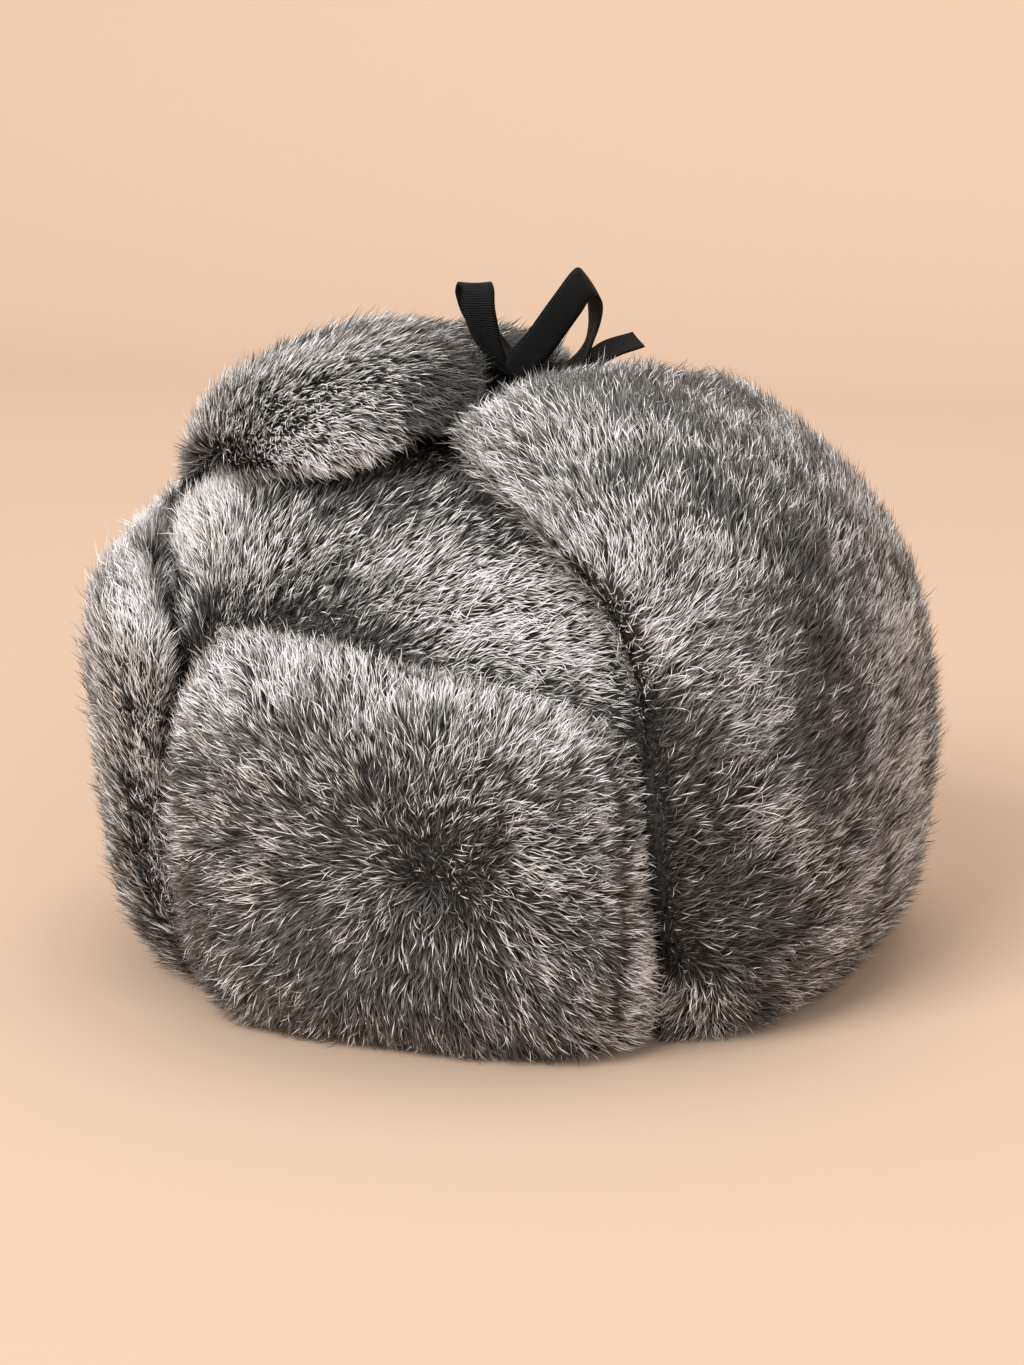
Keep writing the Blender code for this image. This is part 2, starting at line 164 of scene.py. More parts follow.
# %% Lamps
Lamp = namedtuple("Lamp", "name place at size watts")
LAMPS = (
    Lamp("key", (-1.4, -3.6, 3.0), aim, 2.6, 236.0),
    Lamp("fill", (2.6, -3.0, 1.8), aim, 2.4, 60.0),
    Lamp("rim", (0.2, 0.6, 3.2), aim, 2.0, 26.0),
    Lamp("paper", (0.0, 1.0, 3.0), Vector((0.0, 2.2, 0.5)), 2.0, 13.0),
)
WORLD_COLOUR = (1.0, 0.965, 0.925)
WORLD_STRENGTH = 0.62

for row in LAMPS:
    data = bpy.data.lights.new(row.name, "AREA")
    data.size = row.size
    data.energy = row.watts
    lamp = bpy.data.objects.new(row.name, data)
    lamp.location = row.place
    lamp.rotation_euler = (row.at - lamp.location).to_track_quat("-Z", "Y").to_euler()
    bpy.context.scene.collection.objects.link(lamp)
world = bpy.data.worlds.new("soft room")
world.use_nodes = True
world.node_tree.nodes["Background"].inputs["Color"].default_value = (*WORLD_COLOUR, 1)
world.node_tree.nodes["Background"].inputs["Strength"].default_value = WORLD_STRENGTH
bpy.context.scene.world = world
bpy.context.scene.view_settings.view_transform = "Standard"
print("lamps:", ", ".join(row.name for row in LAMPS))

# %% [markdown]
# ## The solids as one skin to comb
# Each padded solid becomes a smooth skin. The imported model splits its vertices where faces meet,
# so we weld them first: only then does a vertex have one normal, and hair grows along it. We
# also put all the skins in one tree, which answers what a straight line hits first.

# %% Skins
WELD = 1e-6
PADDED = {
    "crown": "crown_fur",
    "visor": "visor_fur",
    "ear_flap_left": "flap_fur",
    "ear_flap_right": "flap_fur",
}
HEART = Vector((HEAD_MIDDLE_X, 0, 0.072))


def welded(node):
    bm = bmesh.new()
    bm.from_mesh(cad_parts[node].data)
    bmesh.ops.remove_doubles(bm, verts=bm.verts, dist=WELD)
    bmesh.ops.triangulate(bm, faces=bm.faces)
    bm.normal_update()
    return bm


Skin = namedtuple("Skin", "corners normals areas")
skins = {}
all_corners = []
all_faces = []
face_owner = []
for node in PADDED:
    bm = welded(node)
    bm.verts.index_update()
    places = np.array([v.co for v in bm.verts])
    normals = np.array([v.normal for v in bm.verts])
    faces = np.array([[v.index for v in face.verts] for face in bm.faces])
    areas = np.array([face.calc_area() for face in bm.faces])
    skins[node] = Skin(places[faces], normals[faces], areas)
    all_faces += [[int(i) + len(all_corners) for i in face] for face in faces]
    all_corners += [Vector(place) for place in places]
    face_owner += [node] * len(faces)
    bm.free()
whole_hat = BVHTree.FromPolygons(all_corners, all_faces)
print("skins:", {node: len(skin.areas) for node, skin in skins.items()})

# %% [markdown]
# ## How the fur lies
# Fur is combed by the way it was cut and sewn, by folding and by hands. On this hat it bursts out
# from a dark whorl low on the visor, sweeps up over the crown and runs up and back along the
# flaps. We write down what the photograph shows in a table: at a place in the picture, the clock
# hour the hair points to, and how many of the hairs are pale. Each row finds its place on the hat
# by a straight line from the camera. Between the rows we blend, nearer rows counting more, so a
# place that has to stand out against its neighbours has a share past 1 or below 0. In some rows
# the share also paints light and shade into the hair: painted light on the crown's left, and
# painted shade on the folded flap's end and on the crown under its edge.

# %% Comb table
Stroke = namedtuple("Stroke", "x y hour pale")
STROKES = (
    # x, y: pixels of the picture; hour: 12 is up and 3 is right; last column: share of pale hairs, with
    # painted light and shade in the marked rows
    # the visor's whorl and the hair round it
    Stroke(420, 863, 12.0, 0.30),
    Stroke(380, 850, 10.0, 0.34),
    Stroke(460, 850, 1.8, 0.36),
    Stroke(420, 905, 6.0, 0.28),
    Stroke(400, 800, 11.7, 0.40),
    Stroke(455, 790, 12.6, 0.42),
    Stroke(400, 740, 11.9, 0.56),
    Stroke(470, 735, 12.7, 0.64),
    Stroke(540, 760, 1.3, 0.56),
    Stroke(380, 675, 11.9, 0.90),
    Stroke(450, 680, 12.3, 0.94),
    Stroke(520, 710, 12.8, 0.90),
    Stroke(590, 745, 1.6, 0.74),
    Stroke(320, 655, 11.7, 0.86),
    Stroke(230, 650, 11.0, 0.84),
    Stroke(300, 720, 11.5, 0.60),
    Stroke(200, 700, 10.2, 0.62),
    Stroke(240, 780, 10.2, 0.40),
    Stroke(320, 790, 10.8, 0.42),
    Stroke(185, 800, 9.4, 0.46),
    Stroke(195, 880, 8.7, 0.40),
    Stroke(280, 860, 9.2, 0.38),
    Stroke(340, 870, 9.2, 0.26),
    Stroke(215, 950, 8.0, 0.28),
    Stroke(300, 940, 7.6, 0.19),
    Stroke(350, 925, 7.2, 0.16),
    Stroke(280, 1005, 7.0, 0.20),
    Stroke(400, 960, 6.4, 0.17),
    Stroke(400, 1020, 6.0, 0.20),
    Stroke(480, 930, 4.8, 0.17),
    Stroke(500, 1015, 5.0, 0.24),
    Stroke(530, 860, 3.2, 0.46),
    Stroke(580, 900, 3.2, 0.50),
    Stroke(570, 980, 4.0, 0.44),
    Stroke(520, 800, 2.0, 0.52),
    Stroke(585, 820, 2.4, 0.55),
    Stroke(636, 800, 2.6, 0.44),
    Stroke(636, 900, 3.0, 0.52),
    Stroke(636, 990, 3.6, 0.78),
    # the crown
    # partly painted light: the crown's left bulge faces the light, and shares past 1 make it paler than
    # its hair alone
    Stroke(215, 505, 10.8, 1.25),
    Stroke(190, 545, 10.2, 1.28),
    Stroke(185, 585, 10.4, 1.12),
    Stroke(230, 560, 12.3, 0.90),
    Stroke(270, 520, 1.3, 0.62),
    Stroke(234, 600, 12.8, 0.62),
    Stroke(290, 590, 1.5, 0.58),
    Stroke(340, 545, 1.8, 0.56),
    Stroke(340, 617, 1.6, 0.62),
    # painted shadow: the crown just under the right flap's front edge is given a low share
    Stroke(400, 500, 2.0, 0.36),
    Stroke(400, 570, 2.0, 0.62),
    Stroke(470, 520, 2.2, 0.52),
    Stroke(450, 615, 2.3, 1.10),
    Stroke(520, 580, 2.6, 1.22),
    Stroke(560, 620, 2.8, 1.30),
    Stroke(530, 660, 2.8, 1.14),
    Stroke(620, 640, 3.0, 1.12),
    Stroke(625, 710, 3.4, 0.88),
    # the lower part of the wearer's right flap
    Stroke(175, 490, 11.0, 1.00),
    Stroke(195, 495, 11.8, 1.00),
    Stroke(160, 525, 11.2, 1.00),
    Stroke(172, 550, 11.8, 1.00),
    Stroke(130, 580, 11.2, 0.80),
    Stroke(165, 600, 12.2, 0.84),
    Stroke(115, 650, 11.2, 1.02),
    Stroke(155, 670, 12.4, 0.76),
    Stroke(110, 740, 11.0, 0.94),
    Stroke(145, 760, 12.0, 0.72),
    Stroke(110, 830, 10.8, 0.74),
    Stroke(150, 860, 11.6, 0.50),
    Stroke(140, 930, 10.4, 0.46),
    Stroke(175, 980, 9.8, 0.40),
    # its upper part, folded over the crown
    Stroke(165, 440, 11.4, 0.80),
    Stroke(200, 420, 12.2, 0.66),
    Stroke(235, 370, 12.4, 0.62),
    Stroke(290, 338, 12.8, 0.36),
    Stroke(350, 318, 1.2, 0.56),
    Stroke(410, 312, 1.8, 0.66),
    Stroke(445, 322, 2.4, 0.62),
    Stroke(215, 448, 2.0, 0.88),
    Stroke(232, 415, 1.4, 0.95),
    Stroke(262, 392, 1.7, 1.06),
    Stroke(310, 365, 2.0, 1.04),
    Stroke(355, 350, 2.3, 1.00),
    Stroke(405, 345, 2.8, 0.90),
    Stroke(300, 400, 2.8, 0.95),
    Stroke(345, 395, 3.2, 0.94),
    Stroke(390, 385, 3.4, 0.76),
    Stroke(252, 440, 3.6, 1.00),
    Stroke(300, 435, 4.1, 1.00),
    Stroke(350, 430, 4.2, 0.80),
    Stroke(390, 415, 3.8, 0.50),
    Stroke(285, 462, 4.8, 1.00),
    Stroke(335, 470, 4.9, 0.98),
    Stroke(372, 455, 4.5, 0.76),
    # painted shade: the end face of the folded flap, turned from the light, and the crown just under it
    # get shares below 0
    Stroke(438, 400, 3.6, -0.75),
    Stroke(418, 424, 3.9, -0.65),
    Stroke(458, 358, 3.2, -0.70),
    Stroke(484, 345, 2.4, -0.10),
    Stroke(472, 372, 3.2, -0.60),
    Stroke(440, 440, 4.2, -0.75),
    # the wearer's left flap
    Stroke(475, 445, 9.8, 0.58),
    Stroke(520, 495, 10.2, 0.64),
    Stroke(560, 540, 10.6, 0.66),
    Stroke(530, 420, 10.9, 0.60),
    Stroke(580, 460, 11.2, 0.60),
    Stroke(600, 400, 11.9, 0.26),
    Stroke(640, 480, 12.0, 0.52),
    Stroke(600, 520, 11.3, 0.66),
    Stroke(660, 395, 12.4, 0.16),
    Stroke(720, 390, 12.8, 0.16),
    Stroke(700, 470, 12.2, 0.34),
    Stroke(760, 455, 12.5, 0.40),
    Stroke(820, 480, 12.7, 0.48),
    Stroke(630, 590, 11.8, 0.66),
    Stroke(660, 640, 1.6, 0.60),
    Stroke(700, 570, 12.4, 0.52),
    Stroke(700, 640, 2.2, 0.58),
    Stroke(750, 550, 12.5, 0.34),
    Stroke(800, 560, 12.7, 0.08),
    Stroke(745, 620, 1.5, 0.44),
    Stroke(800, 660, 1.3, 0.02),
    Stroke(860, 620, 1.0, 0.40),
    Stroke(895, 640, 1.0, 0.78),
    Stroke(672, 740, 1.6, 0.09),
    Stroke(690, 840, 2.0, 0.13),
    Stroke(680, 920, 2.6, 0.12),
    Stroke(712, 880, 2.2, 0.17),
    Stroke(705, 945, 2.4, 0.14),
    Stroke(735, 720, 1.8, 0.60),
    Stroke(755, 820, 1.8, 0.52),
    Stroke(820, 760, 1.5, 0.12),
    Stroke(830, 850, 1.8, 0.40),
    Stroke(895, 740, 1.2, 0.64),
    Stroke(910, 840, 1.5, 0.78),
    Stroke(730, 920, 2.2, 0.28),
    Stroke(840, 940, 2.6, 0.48),
    Stroke(750, 985, 3.4, 0.22),
    Stroke(690, 1000, 7.6, 0.46),
    Stroke(820, 1000, 3.6, 0.40),
)
Parting = namedtuple("Parting", "x y to_x to_y")
PARTINGS = (
    # where the hair parts along a fold and the dark wool shows; the darkening along them is partly that
    # wool and partly painted shade in the fold
    Parting(140, 545, 176, 583),
    Parting(176, 583, 208, 622),
    Parting(600, 762, 617, 810),
    Parting(617, 810, 613, 905),
    Parting(613, 905, 608, 1030),
    Parting(672, 955, 740, 952),
    Parting(740, 952, 792, 930),
    Parting(690, 800, 715, 850),
)
Tuft = namedtuple("Tuft", "x y reach")
TUFTS = (
    # where long hair covers a crease or the foot of the bow; reach in metres
    Tuft(190, 530, 0.026),
    Tuft(478, 352, 0.011),
    Tuft(540, 405, 0.009),
)
print("the comb table has", len(STROKES), "strokes and", len(PARTINGS), "partings")

# %% [markdown]
# ## From the picture to the hat
# A line through a pixel leaves the camera in a known direction. Where it meets the hat is the
# place that the pixel shows.

# %% Picture to hat
PIXEL = SENSOR_HEIGHT / LENS / PICTURE_HEIGHT
towards_camera = np.array(to_camera)


def seen_at(x, y):
    """Where the line through a pixel meets the hat, and which solid it meets."""
    across = (x - PICTURE_WIDTH / 2) * PIXEL
    up = (PICTURE_HEIGHT / 2 - y) * PIXEL
    direction = (to_right * across + to_top * up - to_camera).normalized()
    place, _, face, _ = whole_hat.ray_cast(eye, direction)
    return (place, face_owner[face]) if place else (None, None)


print("the picture's middle shows the", seen_at(PICTURE_WIDTH / 2, PICTURE_HEIGHT / 2)[1])

# %% [markdown]
# ## The strokes on the hat
# Each row of the comb table becomes a place in space, a direction and a share of pale hairs. We
# keep it with the solid it fell on, so that a flap is never combed by a stroke on the crown
# behind it. The solids end a little inside the fur's outline, so a row right at the outline
# slides in until its line meets a solid.

# %% Strokes on the hat
HAT_MIDDLE = (512, 680)
SLIDE = 0.01

comb = {node: [] for node in PADDED}
for stroke in STROKES:
    x, y = stroke.x, stroke.y
    place, node = seen_at(x, y)
    while place is None:
        x += (HAT_MIDDLE[0] - x) * SLIDE
        y += (HAT_MIDDLE[1] - y) * SLIDE
        place, node = seen_at(x, y)
    turn = math.radians(stroke.hour * 30)
    points_to = to_right * math.sin(turn) + to_top * math.cos(turn)
    comb[node].append([*place, *points_to, stroke.pale])
comb = {node: np.array(rows) for node, rows in comb.items()}
print("strokes on each solid:", {node: len(rows) for node, rows in comb.items()})

# %% [markdown]
# ## Partings, and the piece next door
# A parting is a row of points on the hat, kept in a tree that finds the nearest one fast. For
# every piece we also make a tree of all the other pieces. It tells us how near the next piece
# is, because the hair in a crease is shorter and darkened with painted shade.

# %% Partings
PARTING_STEPS = 24

parting_places = []
for row in PARTINGS:
    for step in range(PARTING_STEPS + 1):
        share = step / PARTING_STEPS
        x = row.x + (row.to_x - row.x) * share
        y = row.y + (row.to_y - row.y) * share
        parting_places.append(seen_at(x, y)[0])
partings = KDTree(len(parting_places))
for number, place in enumerate(parting_places):
    partings.insert(place, number)
partings.balance()

all_but = {}
for node in PADDED:
    faces = [face for face, owner in zip(all_faces, face_owner) if owner != node]
    all_but[node] = BVHTree.FromPolygons(all_corners, faces)
print("points along the partings:", len(parting_places))

# %% [markdown]
# ## Which way a hair lies
# A hair leans, it doesn't lie flat. What we see of its direction in the picture is partly its
# own and partly the skin's normal. So we solve for the direction on the skin that looks right
# once the hair leans as usual. Towards the outline that answer becomes unsure, and we go over to
# the stroke's plain direction along the skin.

# %% Direction on the skin
USUAL_LEAN = math.radians(60)
FACING_GAIN = 2.5
FACING_START = 0.7


def unit(vectors):
    return vectors / np.maximum(np.linalg.norm(vectors, axis=1, keepdims=True), 1e-9)


def in_picture(vectors):
    return np.stack((vectors @ np.array(to_right), vectors @ np.array(to_top)), axis=1)


def on_skin(way, normals):
    """The direction on the skin in which a leaning hair looks, in the picture, as if it lay that way."""
    flat = unit(way - (way * normals).sum(1, keepdims=True) * normals)
    beside = np.cross(normals, flat)
    wanted = unit(in_picture(way))
    crosswise = np.stack((-wanted[:, 1], wanted[:, 0]), axis=1)
    rise, run = math.cos(USUAL_LEAN), math.sin(USUAL_LEAN)
    a = run * (crosswise * in_picture(flat)).sum(1)
    b = run * (crosswise * in_picture(beside)).sum(1)
    c = -rise * (crosswise * in_picture(normals)).sum(1)
    middle = np.arctan2(b, a)
    spread = np.arccos(np.clip(c / np.maximum(np.hypot(a, b), 1e-9), -1, 1))
    found = []
    for turn in (middle + spread, middle - spread):
        ahead = flat * np.cos(turn)[:, None] + beside * np.sin(turn)[:, None]
        fits = (in_picture(normals * rise + ahead * run) * wanted).sum(1)
        found.append((ahead, fits))
    better = (found[0][1] > found[1][1])[:, None]
    solved = np.where(better, found[0][0], found[1][0])
    facing = np.clip(FACING_GAIN * (normals @ towards_camera) - FACING_START, 0, 1)[:, None]
    return unit(solved * facing + flat * (1 - facing))


print("hair is taken to lean", round(math.degrees(USUAL_LEAN)), "degrees")

# %% [markdown]
# ## Combing
# At any place on a piece the strokes near it are averaged, and a stroke counts less the further
# off it is. Where they disagree, as in the middle of the whorl, the average is short, and the
# hair there will stand up loosely. Hair on the far side, which the camera doesn't see, is combed
# up the hat and back from the face, as it was before the flaps were folded.

# %% Combing
REACH_OF_STROKE = 0.012
DEFAULT_PALE = 0.6
DEFAULT_WEIGHT = 0.02
SWEPT_BACK = 0.35


def combed(node, places, normals):
    """The direction the hair lies in at each place, how surely, and the share of pale hairs, which
    carries the table's painted light and shade.
    """
    outward = places - np.array(HEART)
    outward[:, 2] = 0
    sideways = np.cross(outward, (0.0, 0.0, 1.0))
    sideways *= -np.sign(outward[:, :1])
    way = unit(np.array((0.0, 0.0, 1.0)) + SWEPT_BACK * unit(sideways)) * DEFAULT_WEIGHT
    pale = np.full(len(places), DEFAULT_PALE * DEFAULT_WEIGHT)
    weight = np.full(len(places), DEFAULT_WEIGHT)
    for row in comb[node]:
        near = np.exp(-((places - row[:3]) ** 2).sum(1) / REACH_OF_STROKE**2)
        way += near[:, None] * row[3:6]
        pale += near * row[6]
        weight += near
    sure = np.linalg.norm(way, axis=1) / weight
    return on_skin(way, normals), sure, pale / weight


print("a stroke reaches", round(REACH_OF_STROKE * 1000), "mm")

# %% [markdown]
# ## Creases and tufts
# Real fur nearly closes over a seam, and only a dark line of shade is left, which we paint into
# the hair as painted shade. Each piece has its own width of painted shade. In two or three places
# long hair is brushed right over it, and there the crease doesn't show at all.

# %% Creases and tufts
REACH_OF_PARTING = 0.0024
# painted shade: how far from another piece the hair is darkened
REACH_OF_CREASE_SHADE = {
    "crown": 0.0085,
    "visor": 0.002,
    "ear_flap_left": 0.0025,
    "ear_flap_right": 0.003,
}


def tufted(places):
    """How near each place is to a tuft, where long hair is brushed over a crease."""
    most = np.zeros(len(places))
    for row in TUFTS:
        middle = np.array(seen_at(row.x, row.y)[0])
        away = np.linalg.norm(places - middle, axis=1)
        most = np.maximum(most, np.exp(-((away / row.reach) ** 2)))
    return most


def nearness_to_shaded_folds(node, places):
    """How near each place is to a parting or to another piece, where hair is shorter and painted
    shade darkens it: 1 right on it, 0 well away. A tuft hides the crease that it is brushed over."""
    away = np.array([partings.find(place)[2] for place in places])
    others = all_but[node]
    gap = np.array([others.find_nearest(place)[3] for place in places])
    crease = np.exp(-((gap / REACH_OF_CREASE_SHADE[node]) ** 2))
    crease *= 1 - tufted(places)
    return np.maximum(np.exp(-((away / REACH_OF_PARTING) ** 2)), crease)


print("creases are dark for", {node: reach * 1000 for node, reach in REACH_OF_CREASE_SHADE.items()}, "mm")

# %% [markdown]
# ## Noise without a texture
# Hair is never even. Where we need a smooth random value over the hat, we add up a few waves
# that run in random directions. It is quick for a hundred thousand places at once.

# %% Smooth noise
WAVES = 14
WAVE_PACES = (0.6, 1.6)
WAVE_HEIGHT = 0.8


def smooth_noise(places, size, seed):
    """A smooth random value from about -1 to 1 at each place, with lumps of about that size."""
    rng = np.random.default_rng(seed)
    total = np.zeros(len(places))
    for _ in range(WAVES):
        direction = rng.normal(size=3)
        direction *= rng.uniform(*WAVE_PACES) / np.linalg.norm(direction) * math.pi / size
        total += np.sin(places @ direction + rng.uniform(0, 2 * math.pi))
    return total / math.sqrt(WAVES / 2) * WAVE_HEIGHT


print("waves in the noise:", WAVES)

# %% [markdown]
# ## One hair
# A hair is a narrow blade: two corners at the root, two at each bend and a single point at the
# tip. A round tube would need ten times the faces and look the same at this size. It leaves the
# skin steeply and lies over more and more towards its tip. Neighbours lean together in small
# locks, which is what makes fur look like fur and not like a brush. Every hair is either a pale
# one or a dark one, and a pale lock beside a dark one gives the salt and pepper look. A few of
# the dark ones stand up more, so that they show as fine spikes along the outline. The far side
# of the hat gets fewer hairs, each a little wider.

# %% Hair numbers
ROOT_DEPTH = 0.0036
FLOOR_CLEARANCE = 0.0006
# the tone of a hair
LOCK_TONE_SHARE = 0.4
# painted shade in partings and creases: how much lower the pale share is there
FOLD_PAINTED_SHADE = 0.9
PATCHES_PALER = 0.12
PATCH_SIZE = 0.012
PATCH_SEED = 5
PALE_TONE = 0.94
DARK_TONE = 0.08
DARK_TONE_RISE = 0.55
DARK_TONE_CURVE = 2.2
TONE_SCATTER = 0.09
TONE_RANGE = (0.02, 0.98)
# its length and width, as shares of the coat's
LENGTH_SCATTER = 0.14
PARTING_SHORTER = 0.4
DARK_LONGER = 1.12
UNEVEN_LENGTH = 0.12
UNEVEN_SIZE = 0.02
TUFT_LONGER = 0.7
WIDTH_RANGE = (0.7, 1.3)
# how it stands, in degrees
LOOSE_BELOW = 1.5
LOOSE_GAIN = 1.6
LOOSE_SWING = 50
LOOSE_UPRIGHT = 0.4
SWIRL = 12
SWIRL_SIZE = 0.011
SPIKE_SHARE = 0.10
SPIKE_UPRIGHT = 0.62
LEAN_ROOT_SCATTER = 7
LEAN_TIP_SCATTER = 11
LEAN_TIP_RANGE = (30, 92)
PULL_RANGE = (0.3, 1.2)
PULL_CURVE = 1.4
ROLL_SCATTER = 32

Coat = namedtuple("Coat", "per_cm2 length width bends lean_root lean_tip swing curl in_lock pull paler")
UNDER_HAIR = Coat(82, 0.0066, 0.00040, 1, 40, 70, 11, 12, 20, 0.35, -0.22)
OVER_HAIR = Coat(45, 0.0086, 0.00038, 2, 38, 76, 13, 30, 10, 0.25, 0.04)
BACK_SHARE = 0.62
BACK_WIDTH = 1.25
print("a short hair has", 2 * UNDER_HAIR.bends + 1, "triangles, a long one", 2 * OVER_HAIR.bends + 1)

# %% [markdown]
# ## Where hair grows
# Roots are scattered evenly over a piece's triangles, by their area. A root is left out where it
# would be on the flat underside, on the side towards the head, or where another piece presses
# against the skin. Each root then looks up the lock that it belongs to.

# %% Roots
HIDDEN_BEHIND = 0.0032
JUST_OUTSIDE = 0.0004
UNDERSIDE_HEIGHT = 0.0015
UNDERSIDE_FACING = -0.5


def roots_on(node, per_cm2, rng):
    """Random places on the side of a solid that shows, with the normal there."""
    skin = skins[node]
    in_front = skin.normals.mean(1) @ towards_camera > 0
    area = skin.areas * np.where(in_front, 1.0, BACK_SHARE)
    count = round(area.sum() * 1e4 * per_cm2)
    face = rng.choice(len(area), size=count, p=area / area.sum())
    a = np.sqrt(rng.random(count))
    b = rng.random(count)
    share = np.stack((1 - a, a * (1 - b), a * b), axis=1)[:, :, None]
    places = (skin.corners[face] * share).sum(1)
    normals = unit((skin.normals[face] * share).sum(1))
    keep = (places[:, 2] > UNDERSIDE_HEIGHT) | (normals[:, 2] > UNDERSIDE_FACING)
    if node == "crown":
        keep &= ((places - np.array(HEART)) * normals).sum(1) > 0
    for i in np.flatnonzero(keep):
        normal = Vector(normals[i])
        start = Vector(places[i]) + normal * JUST_OUTSIDE
        if whole_hat.ray_cast(start, normal, HIDDEN_BEHIND)[0] is not None:
            keep[i] = False
    return places[keep], normals[keep]


def locks_of(places, hairs_in_lock, rng):
    """For each hair, the hair in the middle of its lock."""
    middles = rng.choice(len(places), size=max(len(places) // hairs_in_lock, 1), replace=False)
    tree = KDTree(len(middles))
    for number, i in enumerate(middles):
        tree.insert(places[i], number)
    tree.balance()
    return np.array([middles[tree.find(place)[1]] for place in places])


print("hair is rooted", ROOT_DEPTH * 1000, "mm under the skin")

# %% [markdown]
# ## Growing
# All hairs of a coat grow at once, as rows of big arrays, which is far quicker than one hair at
# a time. First each hair gets its tone, then its length, then the way it swings and leans. It is
# then laid out bend by bend from its root, and pulled a little towards the middle of its lock.

# %% Growing
def grow(node, coat, seed):
    """The bends of every hair, its normal, blade direction, width and tone."""
    rng = np.random.default_rng(seed)
    places, normals = roots_on(node, coat.per_cm2, rng)
    number = len(places)
    along, sure, pale = combed(node, places, normals)
    near_shaded_fold = nearness_to_shaded_folds(node, places)
    beside = np.cross(normals, along)
    middle = locks_of(places, coat.in_lock, rng)
    # painted shade: hair near a parting or another piece gets a lower pale share
    share = pale + coat.paler - FOLD_PAINTED_SHADE * near_shaded_fold
    share = share + PATCHES_PALER * smooth_noise(places, PATCH_SIZE, PATCH_SEED)
    draw = rng.random(number)
    draw = np.where(rng.random(number) < LOCK_TONE_SHARE, draw[middle], draw)
    is_pale = draw < share
    dark_tone = DARK_TONE + DARK_TONE_RISE * np.clip(share, 0, 1) ** DARK_TONE_CURVE
    tone = np.where(is_pale, PALE_TONE, dark_tone)
    tone += rng.normal(0, TONE_SCATTER, number)
    steps = coat.bends + 1
    length = coat.length * rng.lognormal(0, LENGTH_SCATTER, number)
    length *= 1 - PARTING_SHORTER * near_shaded_fold
    length *= np.where(is_pale, 1.0, DARK_LONGER)
    length *= 1 + UNEVEN_LENGTH * smooth_noise(places, UNEVEN_SIZE, seed + 1)
    length *= 1 + TUFT_LONGER * tufted(places)
    loose = np.clip(LOOSE_BELOW - LOOSE_GAIN * sure, 0, 1)
    swing = rng.normal(0, 1, number) * (coat.swing + LOOSE_SWING * loose)
    swing = np.radians(swing + SWIRL * smooth_noise(places, SWIRL_SIZE, seed + 2))
    curl = np.radians(rng.normal(0, coat.curl, number) * (1 + loose))
    is_spike = ~is_pale & (draw > 1 - SPIKE_SHARE)
    upright = (1 - LOOSE_UPRIGHT * loose) * np.where(is_spike, SPIKE_UPRIGHT, 1.0)
    lean_root = rng.normal(coat.lean_root, LEAN_ROOT_SCATTER, number)
    lean_root = np.radians(lean_root * upright)
    lean_tip = rng.normal(coat.lean_tip, LEAN_TIP_SCATTER, number)
    lean_tip = np.radians(np.clip(lean_tip, *LEAN_TIP_RANGE) * upright)
    bends = [places - normals * ROOT_DEPTH]
    for step in range(steps):
        at = (step + 0.5) / steps
        lean = (lean_root + (lean_tip - lean_root) * at)[:, None]
        side = (swing + curl * at)[:, None]
        level = along * np.cos(side) + beside * np.sin(side)
        heading = normals * np.cos(lean) + level * np.sin(lean)
        bends.append(bends[-1] + heading * (length / steps)[:, None])
    bends = np.stack(bends, axis=1)
    pull = coat.pull * rng.uniform(*PULL_RANGE, number)
    for step in range(1, steps + 1):
        pulled = (pull * (step / steps) ** PULL_CURVE)[:, None]
        bends[:, step] += (bends[middle, step] - bends[:, step]) * pulled
    bends[:, :, 2] = np.maximum(bends[:, :, 2], FLOOR_CLEARANCE)
    roll = np.radians(rng.normal(0, ROLL_SCATTER, number))[:, None]
    heading = unit(bends[:, -1] - bends[:, 0])
    across = unit(np.cross(normals, heading))
    facing = np.cross(heading, across)
    blade = across * np.cos(roll) + facing * np.sin(roll)
    blade *= np.sign((np.cross(blade, heading) * normals).sum(1, keepdims=True))
    width = coat.width * rng.uniform(*WIDTH_RANGE, number)
    width *= np.where(normals @ towards_camera > 0, 1.0, BACK_WIDTH)
    return bends, normals, blade, width, np.clip(tone, *TONE_RANGE)


print("one hair in", round(1 / SPIKE_SHARE), "may stand up as a spike")

# %% [markdown]
# ## From bends to a mesh
# The arrays go straight into a mesh, which Blender takes in one piece. The UV map holds no
# picture: across it is the hair's tone and up it is the way from root to tip, and that is all
# that the material needs. The blades' normals are turned towards the skin's, so that a coat of
# flat blades is lit like soft fur.

# %% Blades
TIP_TAPER = 0.55
SURFACE_NORMAL_SHARE = 0.6
MAP_HALF_WIDTH = 0.006
MAP_MARGIN = 0.01


